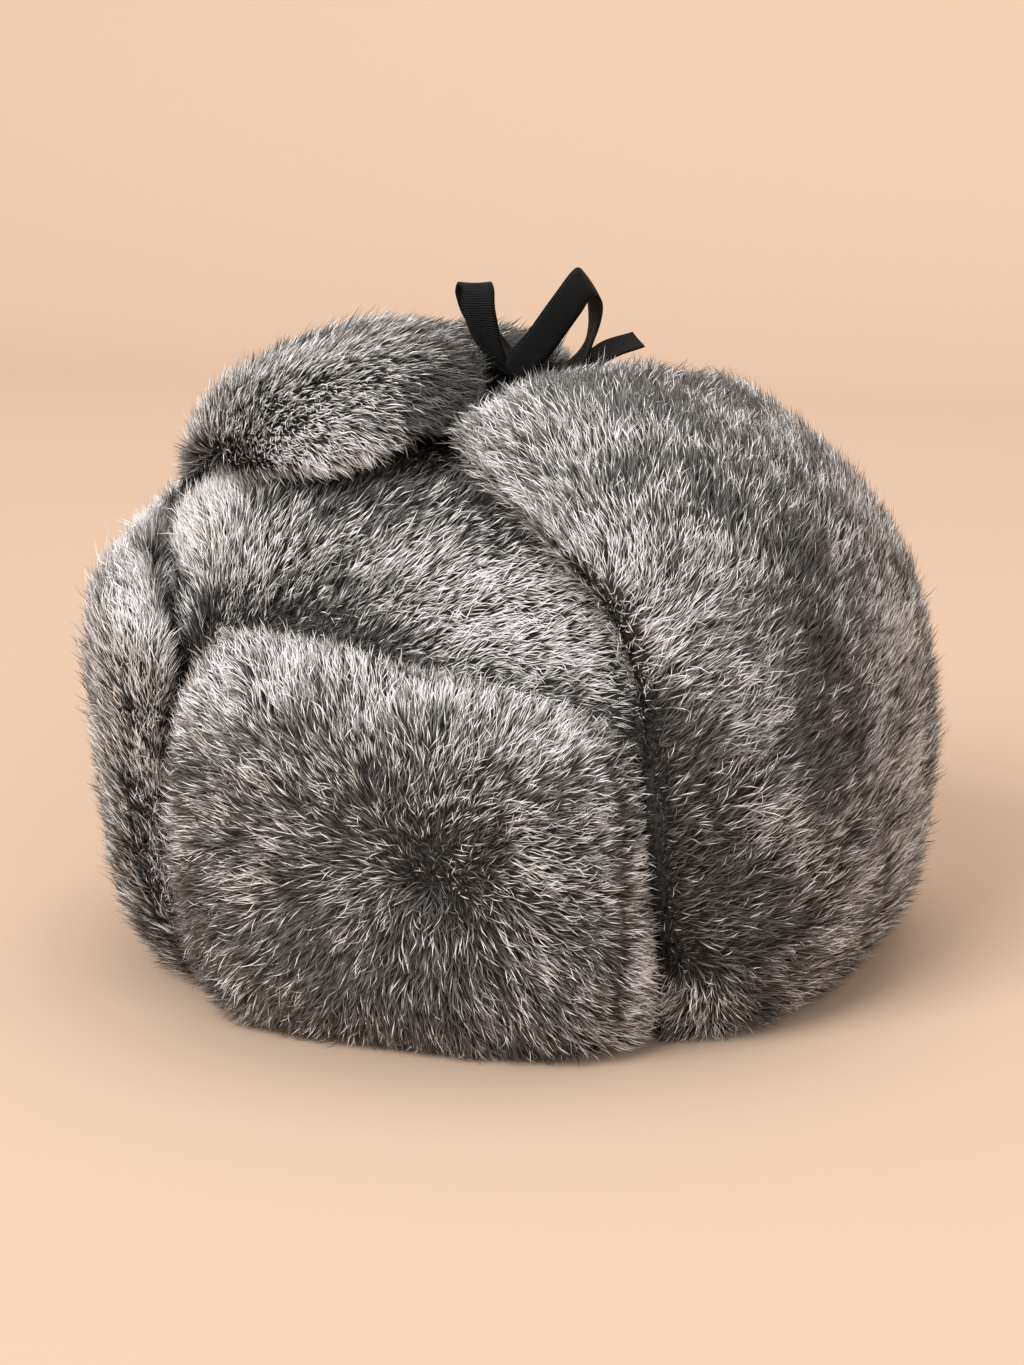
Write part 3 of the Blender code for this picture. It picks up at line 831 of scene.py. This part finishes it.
def hair_mesh(name, bends, normals, blade, width, tone):
    """A mesh of one blade a hair, with its tone and its way from root to tip as UVs."""
    number, points = bends.shape[:2]
    corners_each = 2 * (points - 1) + 1
    taper = 1 - TIP_TAPER * (np.arange(points - 1) / (points - 1))
    half = blade[:, None, :] * (width[:, None] * taper / 2)[:, :, None]
    corners = np.empty((number, corners_each, 3))
    corners[:, 0:-1:2] = bends[:, :-1] - half
    corners[:, 1:-1:2] = bends[:, :-1] + half
    corners[:, -1] = bends[:, -1]
    quads = points - 2
    loops = []
    for q in range(quads):
        loops += [2 * q, 2 * q + 1, 2 * q + 3, 2 * q + 2]
    loops += [2 * quads, 2 * quads + 1, 2 * quads + 2]
    sizes = np.tile([4] * quads + [3], number)
    corner_of = (np.arange(number)[:, None] * corners_each + np.array(loops)).ravel()
    mesh = bpy.data.meshes.new(name)
    mesh.vertices.add(number * corners_each)
    mesh.vertices.foreach_set("co", corners.astype(np.float32).ravel())
    mesh.loops.add(len(corner_of))
    mesh.loops.foreach_set("vertex_index", corner_of.astype(np.int32))
    mesh.polygons.add(len(sizes))
    mesh.polygons.foreach_set("loop_start", np.concatenate(([0], np.cumsum(sizes)[:-1])).astype(np.int32))
    mesh.update(calc_edges=True)
    from_root = np.minimum(np.arange(corners_each) // 2 / (points - 1), 1.0)
    side = np.where(np.arange(corners_each) % 2, MAP_HALF_WIDTH, -MAP_HALF_WIDTH)
    side[-1] = 0.0
    uv = np.empty((number, corners_each, 2))
    uv[:, :, 0] = tone[:, None] + side
    uv[:, :, 1] = MAP_MARGIN + (1 - 2 * MAP_MARGIN) * from_root
    layer = mesh.uv_layers.new(name="OFBake")
    layer.uv.foreach_set("vector", uv.reshape(-1, 2)[corner_of].astype(np.float32).ravel())
    flat = unit(np.cross(blade, bends[:, -1] - bends[:, 0]))
    shown = unit(normals * SURFACE_NORMAL_SHARE + flat * (1 - SURFACE_NORMAL_SHARE))
    mesh.polygons.foreach_set("use_smooth", np.ones(len(sizes), bool))
    mesh.normals_split_custom_set_from_vertices(np.repeat(shown, corners_each, axis=0))
    return mesh


print("a blade tapers to", round(1 - TIP_TAPER, 2), "of its width before the tip")

# %% [markdown]
# ## The colour of a hair
# This fur is dark at the skin and pale at the tips, and some hairs stay dark all the way. The
# dark at the skin is partly the hair's own colour and partly painted shade deep in the coat. Both
# kinds are a colour ramp from root to tip. The hair's tone, which the mesh carries beside that
# position, mixes them. Nothing in this colour changes with the lamps or with where we stand, but
# the tone carries the painted light and shade of the comb table, the partings and the creases.

# %% Hair material
HairStop = namedtuple("HairStop", "place colour")
# the dark lower stops are partly the hair's own colour and partly painted shade deep in the coat
PALE_HAIR = (
    HairStop(0.0, (0.012, 0.011, 0.010)),
    HairStop(0.30, (0.040, 0.036, 0.032)),
    HairStop(0.48, (0.32, 0.29, 0.265)),
    HairStop(0.66, (0.80, 0.765, 0.735)),
    HairStop(1.0, (0.93, 0.91, 0.89)),
)
DARK_HAIR = (
    HairStop(0.0, (0.006, 0.0055, 0.005)),
    HairStop(0.5, (0.019, 0.016, 0.014)),
    HairStop(0.85, (0.036, 0.031, 0.0275)),
    HairStop(1.0, (0.021, 0.018, 0.0155)),
)


def colour_ramp(tree, stops, driver):
    ramp = tree.nodes.new("ShaderNodeValToRGB")
    elements = ramp.color_ramp.elements
    while len(elements) < len(stops):
        elements.new(0.5)
    for element, stop in zip(elements, stops):
        element.position = stop.place
        element.color = (*stop.colour, 1)
    tree.links.new(driver, ramp.inputs["Fac"])
    return ramp.outputs["Color"]


def hair_material(name):
    material, shader = plain_shader(name, roughness=0.48, specular=0.35)
    tree = material.node_tree
    place = tree.nodes.new("ShaderNodeUVMap")
    place.uv_map = "OFBake"
    parts = tree.nodes.new("ShaderNodeSeparateXYZ")
    tree.links.new(place.outputs["UV"], parts.inputs["Vector"])
    mix = tree.nodes.new("ShaderNodeMix")
    mix.data_type = "RGBA"
    tree.links.new(parts.outputs["X"], mix.inputs["Factor"])
    dark_side, pale_side = (socket for socket in mix.inputs if socket.type == "RGBA")
    mixed = next(socket for socket in mix.outputs if socket.type == "RGBA")
    tree.links.new(colour_ramp(tree, DARK_HAIR, parts.outputs["Y"]), dark_side)
    tree.links.new(colour_ramp(tree, PALE_HAIR, parts.outputs["Y"]), pale_side)
    tree.links.new(mixed, shader.inputs["Base Color"])
    return material


hair_finish = hair_material("grey fur")
print("hair material:", hair_finish.name)

# %% [markdown]
# ## Padding under the hair
# Under the hair lies the hide with its fine dark wool. We take each solid's own shape, draw it in
# almost by the depth at which the hairs are rooted, and give it a dark, woolly finish, so that no
# light shows through between the locks. Where two pieces press against each other there is no
# hair, so the padding stays out there and closes the seam. The side towards the head is the bare
# brown hide.

# %% Padding
WOOL_DEPTH = 0.0032
TOUCH_REACH = 0.008
WOOL_DARK = (0.012, 0.011, 0.010)
WOOL_LIGHT = (0.050, 0.045, 0.041)
WOOL_GRAIN = 900.0
HIDE_BROWN = (0.085, 0.070, 0.056)
HIDE_TAN = (0.17, 0.145, 0.12)
HIDE_GRAIN = 260.0
GRAIN_DETAIL = 4.0
GRAIN_BUMP = 0.6
GRAIN_DEPTH = 0.0008


def grainy_material(name, scale, dark, light):
    """A dull finish that wavers between two colours, with a bump of the same grain."""
    material, shader = plain_shader(name, roughness=0.9, specular=0.15)
    tree = material.node_tree
    where = tree.nodes.new("ShaderNodeTexCoord")
    grain = tree.nodes.new("ShaderNodeTexNoise")
    grain.inputs["Scale"].default_value = scale
    grain.inputs["Detail"].default_value = GRAIN_DETAIL
    tree.links.new(where.outputs["Object"], grain.inputs["Vector"])
    stops = (HairStop(0.35, dark), HairStop(0.7, light))
    tree.links.new(colour_ramp(tree, stops, grain.outputs["Fac"]), shader.inputs["Base Color"])
    bump = tree.nodes.new("ShaderNodeBump")
    bump.inputs["Strength"].default_value = GRAIN_BUMP
    bump.inputs["Distance"].default_value = GRAIN_DEPTH
    tree.links.new(grain.outputs["Fac"], bump.inputs["Height"])
    tree.links.new(bump.outputs["Normal"], shader.inputs["Normal"])
    return material


wool = grainy_material("dark under wool", WOOL_GRAIN, WOOL_DARK, WOOL_LIGHT)
hide = grainy_material("brown hide", HIDE_GRAIN, HIDE_BROWN, HIDE_TAN)


def add_padding(node):
    bm = welded(node)
    for vert in bm.verts:
        outer = node != "crown" or (vert.co - HEART).dot(vert.normal) > 0
        gap = all_but[node].ray_cast(vert.co, vert.normal, TOUCH_REACH)[3]
        room = 1.0 if gap is None else gap / TOUCH_REACH
        if outer:
            vert.co -= vert.normal * WOOL_DEPTH * room
        vert.co.z = max(vert.co.z, FLOOR_CLEARANCE)
    mesh = bpy.data.meshes.new(f"{node}_padding")
    bm.to_mesh(mesh)
    bm.free()
    mesh.shade_smooth()
    mesh.materials.append(wool)
    mesh.materials.append(hide)
    for face in mesh.polygons:
        faces_head = node == "crown" and (face.center - HEART).dot(face.normal) < 0
        face.material_index = 1 if faces_head else 0
    padding = new_object(f"{node}_padding", mesh)
    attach(padding, "root")
    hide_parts(node)


for node in PADDED:
    add_padding(node)
print("padding under", ", ".join(PADDED))

# %% [markdown]
# ## The coat of each piece
# Short hairs make the body of the coat and long ones lie over them. We count them out so that
# the whole hat stays under a million triangles.

# %% Hair on every piece
HairPiece = namedtuple("HairPiece", "node name coat seed")
HAIR = (
    HairPiece("crown", "crown_under_hair", UNDER_HAIR, 11),
    HairPiece("crown", "crown_over_hair", OVER_HAIR, 12),
    HairPiece("visor", "visor_under_hair", UNDER_HAIR, 21),
    HairPiece("visor", "visor_over_hair", OVER_HAIR, 22),
    HairPiece("ear_flap_left", "left_flap_under_hair", UNDER_HAIR, 31),
    HairPiece("ear_flap_left", "left_flap_over_hair", OVER_HAIR, 32),
    HairPiece("ear_flap_right", "right_flap_under_hair", UNDER_HAIR, 41),
    HairPiece("ear_flap_right", "right_flap_over_hair", OVER_HAIR, 42),
)

all_triangles = 0
for row in HAIR:
    grown = grow(row.node, row.coat, row.seed)
    mesh = hair_mesh(row.name, *grown)
    mesh.materials.append(hair_finish)
    hair = new_object(row.name, mesh)
    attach(hair, "root")
    triangles = len(grown[0]) * (2 * row.coat.bends + 1)
    all_triangles += triangles
    print(row.name, len(grown[0]), "hairs,", triangles, "triangles")
print("hair in all:", all_triangles, "triangles")

# %% [markdown]
# ## The ribbon
# The flaps are tied with a narrow black ribbon of ribbed weave, in a bow with two loops and two
# ends. A ribbon is a flat band that bends but doesn't stretch, so we give it a middle line, the
# way its width points and how far that tips up, and join them by smooth curves.

# %% Ribbon table
RIBBON_WIDTH = 0.0105
RIBBON_THICKNESS = 0.0008
BOW_REACH = 0.040

BandRow = namedtuple("BandRow", "place x y z facing slope")
LOOP_RIGHT = (
    BandRow(0.00, 0.00, 0.04, 0.00, 107, -30),
    BandRow(0.10, -0.28, 0.08, 0.17, 107, -32),
    BandRow(0.20, -0.40, 0.02, 0.37, 107, -20),
    BandRow(0.34, -0.47, -0.03, 0.65, 107, 0),
    BandRow(0.46, -0.50, 0.02, 0.84, 107, 0),
    BandRow(0.54, -0.56, 0.10, 0.87, 107, 0),
    BandRow(0.64, -0.61, 0.20, 0.76, 107, -4),
    BandRow(0.78, -0.54, 0.28, 0.50, 107, -14),
    BandRow(0.90, -0.30, 0.24, 0.28, 107, -34),
    BandRow(1.00, 0.00, 0.06, 0.00, 107, -40),
)
LOOP_LEFT = (
    BandRow(0.00, 0.00, -0.04, 0.00, 287, 36),
    BandRow(0.10, -0.12, -0.13, 0.16, 287, 42),
    BandRow(0.30, 0.11, -0.15, 0.48, 287, 42),
    BandRow(0.46, 0.32, -0.15, 0.77, 286, 45),
    BandRow(0.55, 0.42, -0.06, 0.92, 275, 58),
    BandRow(0.64, 0.46, 0.08, 0.82, 240, 45),
    BandRow(0.76, 0.43, 0.12, 0.50, 205, 15),
    BandRow(0.88, 0.31, 0.14, 0.26, 210, 10),
    BandRow(1.00, 0.00, 0.02, 0.02, 240, 10),
)
TAIL_LEFT = (
    BandRow(0.00, 0.00, -0.04, -0.06, 50, -8),
    BandRow(0.20, 0.18, -0.02, -0.02, 45, -14),
    BandRow(0.40, 0.33, 0.08, 0.14, 38, -26),
    BandRow(0.70, 0.52, 0.20, 0.34, 38, -22),
    BandRow(1.00, 0.78, 0.28, 0.44, 38, -18),
)
TAIL_RIGHT = (
    BandRow(0.00, 0.00, 0.00, -0.08, 90, 0),
    BandRow(0.30, 0.12, 0.30, -0.10, 110, 0),
    BandRow(0.65, 0.36, 0.62, -0.14, 110, 0),
    BandRow(1.00, 0.48, 1.05, -0.28, 96, 0),
)
knot_low, knot_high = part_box("ribbon_knot")
knot_middle = (knot_low + knot_high) / 2
print("the knot's middle is at", [round(v, 4) for v in knot_middle])

# %% [markdown]
# ## Ribbed weave
# Grosgrain has fine ribs across the band. They are too fine to model, so a wave along the band
# raises them in the shading, and the same wavering wave paints their crests a slightly lighter black, a
# painted highlight.

# %% Ribbon material
RIB_SPACING = 0.0008
RIBBON_BLACK = (0.0016, 0.0016, 0.0017)
RIB_CREST_PAINTED_HIGHLIGHT = (0.0075, 0.0073, 0.0073)
RIB_WANDER = 0.3
RIB_BUMP = 0.7
RIB_DEPTH = 0.0003


def ribbon_material():
    material, shader = plain_shader("black ribbed ribbon", roughness=0.5, specular=0.12)
    tree = material.node_tree
    place = tree.nodes.new("ShaderNodeUVMap")
    place.uv_map = "band"
    ribs = tree.nodes.new("ShaderNodeTexWave")
    ribs.bands_direction = "Y"
    ribs.inputs["Scale"].default_value = math.pi / (10 * RIB_SPACING)
    ribs.inputs["Distortion"].default_value = RIB_WANDER
    tree.links.new(place.outputs["UV"], ribs.inputs["Vector"])
    # painted highlight: the rib crests are a lighter black than the hollows
    stops = (HairStop(0.2, RIBBON_BLACK), HairStop(0.9, RIB_CREST_PAINTED_HIGHLIGHT))
    tree.links.new(colour_ramp(tree, stops, ribs.outputs["Fac"]), shader.inputs["Base Color"])
    bump = tree.nodes.new("ShaderNodeBump")
    bump.inputs["Strength"].default_value = RIB_BUMP
    bump.inputs["Distance"].default_value = RIB_DEPTH
    tree.links.new(ribs.outputs["Fac"], bump.inputs["Height"])
    tree.links.new(bump.outputs["Normal"], shader.inputs["Normal"])
    return material


ribbon_finish = ribbon_material()
print("ribbon material:", ribbon_finish.name)

# %% [markdown]
# ## Bands
# Each loop and end is a grid of points along its curve, a little cupped across its width, made
# solid to the ribbon's thickness.

# %% Bow
BAND_STEPS = 90
BAND_ACROSS = 6
CUPPING = 0.0004
LOOK_AHEAD = 0.004
HIDDEN_IN_KNOT = 0.8


def on_curve(table, column, at):
    """A column of a table at a place, on a smooth curve through the rows."""
    places = [row.place for row in table]
    values = [getattr(row, column) for row in table]

    def slope(i):
        low, high = max(i - 1, 0), min(i + 1, len(table) - 1)
        return (values[high] - values[low]) / (places[high] - places[low])

    i = min(max(bisect_right(places, at) - 1, 0), len(table) - 2)
    span = places[i + 1] - places[i]
    u = (at - places[i]) / span
    return (
        values[i] * (1 + 2 * u) * (1 - u) ** 2
        + values[i + 1] * (3 - 2 * u) * u**2
        + slope(i) * span * u * (1 - u) ** 2
        - slope(i + 1) * span * (1 - u) * u**2
    )


def band_point(rows, across, along):
    """A point of a ribbon: across from -0.5 to 0.5 and along from 0 to 1."""
    at = Vector([on_curve(rows, axis, along) for axis in "xyz"]) * BOW_REACH
    slope = math.radians(on_curve(rows, "slope", along))
    facing = math.radians(on_curve(rows, "facing", along))
    level = Vector((math.sin(facing), -math.cos(facing), 0))
    width = level * math.cos(slope) + Vector((0, 0, math.sin(slope)))
    return knot_middle + at + width * RIBBON_WIDTH * across, width


def inside_knot(point):
    shares = [(point[i] - knot_middle[i]) / (knot_high[i] - knot_middle[i]) for i in range(3)]
    return max(abs(share) for share in shares) < HIDDEN_IN_KNOT


def add_band(name, node, rows):
    shown = [
        step / BAND_STEPS
        for step in range(BAND_STEPS + 1)
        if not inside_knot(band_point(rows, 0.0, step / BAND_STEPS)[0])
    ]
    bm = bmesh.new()
    uv_layer = bm.loops.layers.uv.new("band")
    lines = []
    gone = 0.0
    before = None
    for along in shown:
        middle, width = band_point(rows, 0.0, along)
        ahead, _ = band_point(rows, 0.0, min(along + LOOK_AHEAD, 1.0))
        behind, _ = band_point(rows, 0.0, max(along - LOOK_AHEAD, 0.0))
        outward = (ahead - behind).cross(width).normalized()
        gone += (middle - before).length if before else 0.0
        before = middle
        line = []
        for step in range(BAND_ACROSS + 1):
            across = step / BAND_ACROSS - 0.5
            cup = outward * CUPPING * (1 - (2 * across) ** 2)
            vert = bm.verts.new(middle + width * RIBBON_WIDTH * across + cup)
            line.append((vert, across * RIBBON_WIDTH, gone))
        lines.append(line)
    for low, high in zip(lines, lines[1:]):
        for a, b, c, d in zip(low, low[1:], high[1:], high):
            face = bm.faces.new((a[0], b[0], c[0], d[0]))
            for loop, corner in zip(face.loops, (a, b, c, d)):
                loop[uv_layer].uv = (corner[1], corner[2])
    mesh = bpy.data.meshes.new(name)
    bm.to_mesh(mesh)
    bm.free()
    mesh.materials.append(ribbon_finish)
    mesh.shade_smooth()
    band = new_object(name, mesh)
    thickness = band.modifiers.new("thickness", "SOLIDIFY")
    thickness.thickness = RIBBON_THICKNESS
    thickness.offset = 0
    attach(band, "root")
    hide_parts(node)
    print(name, "is", round(gone * 1000), "mm of ribbon")


add_band("bow_loop_right", "ribbon_loop_right", LOOP_RIGHT)
add_band("bow_loop_left", "ribbon_loop_left", LOOP_LEFT)
add_band("bow_end_right", "ribbon_tail_right", TAIL_RIGHT)
add_band("bow_end_left", "ribbon_tail_left", TAIL_LEFT)

# %% [markdown]
# ## The knot
# The middle of a bow is held by one short turn of ribbon, pulled tight so that it puckers into
# pleats. We draw it as a small barrel with a few shallow grooves along its turn.

# %% Knot
KNOT_ROUND = 36
KNOT_ALONG = 20
KNOT_SQUARENESS = 4
PLEATS = 3
PLEAT_DEPTH = 0.06
PLEAT_SLANT = 0.5


def add_knot():
    half = (knot_high - knot_low) / 2
    bm = bmesh.new()
    uv_layer = bm.loops.layers.uv.new("band")
    rings = []
    for step in range(KNOT_ALONG + 1):
        along = 2 * step / KNOT_ALONG - 1
        swell = (1 - abs(along) ** KNOT_SQUARENESS) ** (1 / KNOT_SQUARENESS)
        ring = []
        for part in range(KNOT_ROUND + 1):
            turn = 2 * math.pi * part / KNOT_ROUND
            across, up = math.cos(turn), math.sin(turn)
            square = (across**KNOT_SQUARENESS + up**KNOT_SQUARENESS) ** (-1 / KNOT_SQUARENESS)
            slant = PLEAT_SLANT * math.sin(turn)
            pleat = 1 - PLEAT_DEPTH * math.cos(PLEATS * math.pi * along + slant) ** 2
            out = swell * square * pleat
            place = Vector((half.x * along, half.y * across * out, half.z * up * out))
            ring.append((bm.verts.new(knot_middle + place), half.x * along, half.y * turn))
        rings.append(ring)
    for low, high in zip(rings, rings[1:]):
        for a, b, c, d in zip(low, low[1:], high[1:], high):
            face = bm.faces.new((a[0], d[0], c[0], b[0]))
            for loop, corner in zip(face.loops, (a, d, c, b)):
                loop[uv_layer].uv = (corner[1], corner[2])
    bmesh.ops.remove_doubles(bm, verts=bm.verts, dist=WELD)
    bmesh.ops.recalc_face_normals(bm, faces=bm.faces)
    mesh = bpy.data.meshes.new("bow_knot")
    bm.to_mesh(mesh)
    bm.free()
    mesh.materials.append(ribbon_finish)
    mesh.shade_smooth()
    knot = new_object("bow_knot", mesh)
    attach(knot, "root")
    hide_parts("ribbon_knot")
    print("the knot has", len(mesh.polygons), "faces")


add_knot()
